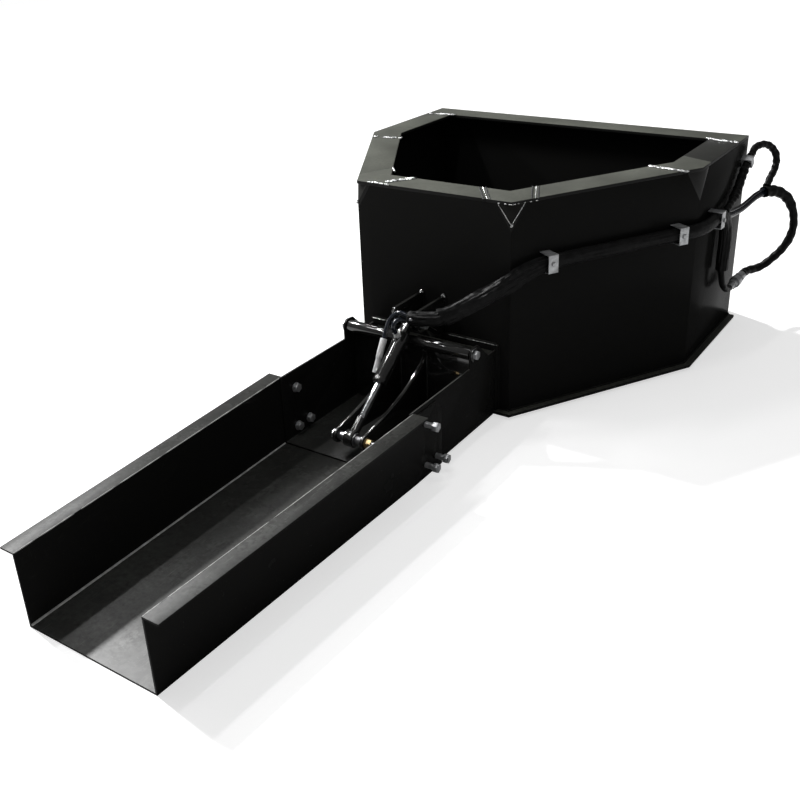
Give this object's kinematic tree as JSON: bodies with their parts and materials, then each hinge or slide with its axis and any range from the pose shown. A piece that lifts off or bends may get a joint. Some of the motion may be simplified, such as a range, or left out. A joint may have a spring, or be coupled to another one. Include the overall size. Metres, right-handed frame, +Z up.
{
  "type": "concrete hopper",
  "caption": "Open-top steel concrete hopper for a skid-steer carrier, with a flap gate worked by a hydraulic cylinder and a bolted discharge chute.",
  "frame": {"origin": "on the underside of the hopper's floor plate, under the middle of the front plate's front face", "axes": "the chute points along -Y, +Y runs to the carrier's attach face at the back, +X is the hose side and +Z is up"},
  "size_m": [1.4172, 2.6146, 0.677],
  "materials": {
    "black_paint": "gloss",
    "zinc_plate": "zinc plated",
    "yellow_zinc": "yellow zinc plated",
    "bare_steel": "machined",
    "rod_chrome": "hard chromed",
    "hose_rubber": "smooth",
    "sleeve_fabric": "woven nylon"
  },
  "bodies": {
    "hopper": {"front_plate": "black_paint", "angled_plate_left": "black_paint", "angled_plate_right": "black_paint", "side_plate_left": "black_paint", "side_plate_right": "black_paint", "back_plate": "black_paint", "floor_plate": "black_paint", "rim_front": "black_paint", "rim_corner_pieces": "black_paint", "rim_angled_left": "black_paint", "rim_angled_right": "black_paint", "rim_side_left": "black_paint", "rim_side_right": "black_paint", "rim_back": "black_paint", "corner_gussets": "black_paint", "attach_plate": "black_paint", "attach_hook": "black_paint", "attach_ledge": "black_paint", "attach_ribs": "black_paint", "door_frame": "black_paint", "chute_rear": "black_paint", "chute_front": "black_paint", "chute_bolts": "zinc_plate", "chute_nuts": "zinc_plate", "chute_washers": "zinc_plate", "pivot_shaft": "bare_steel", "shaft_bolts": "zinc_plate", "shaft_washers": "black_paint", "cylinder_lugs": "black_paint", "base_pin": "zinc_plate", "base_pin_nut": "zinc_plate", "hose_sleeve": "sleeve_fabric", "hose_clamps": "zinc_plate", "clamp_bolts": "zinc_plate", "hose_riser": "hose_rubber", "riser_clamp": "zinc_plate", "hose_return": "hose_rubber", "coupler_plug": "zinc_plate", "coupler_socket": "zinc_plate", "coupler_collar": "zinc_plate", "hose_loop_lower": "hose_rubber", "hose_loop_upper": "hose_rubber"},
    "gate": {"gate_plate": "black_paint", "gate_hinge_tubes": "black_paint", "gate_arm_left": "black_paint", "gate_arm_right": "black_paint", "nose_pin": "zinc_plate", "nose_pin_nut": "yellow_zinc", "nose_spacers": "bare_steel"},
    "barrel": {"cylinder_barrel": "black_paint", "cylinder_gland": "black_paint", "rod_seal": "hose_rubber", "rod_port_fitting": "zinc_plate", "base_port_fitting": "zinc_plate", "jumper_hoses": "hose_rubber"},
    "rod": {"piston_rod": "rod_chrome", "piston": "bare_steel", "piston_seal": "hose_rubber", "piston_nut": "bare_steel", "rod_eye": "black_paint"}
  },
  "joints": [
    {"name": "gate_swing", "type": "hinge", "parent": "hopper", "child": "gate", "pos_m": [0, -0.141, 0.248], "axis": [-1, 0, 0], "range_deg": [0, 70]},
    {"name": "barrel_swing", "type": "hinge", "parent": "hopper", "child": "barrel", "pos_m": [0, -0.128, 0.308], "axis": [-1, 0, 0], "range_deg": [0, 66.5], "deforming": ["jumper_hoses"]},
    {"name": "rod_slide", "type": "slide", "parent": "barrel", "child": "rod", "axis": [0, 0.7923, 0.6102], "range_m": [0, 0.068]}
  ],
  "couplings": [
    {"joint": "barrel_swing", "follows": "gate_swing", "ratio": 0.941},
    {"joint": "rod_slide", "follows": "gate_swing", "m_per_rad": 0.0535}
  ]
}
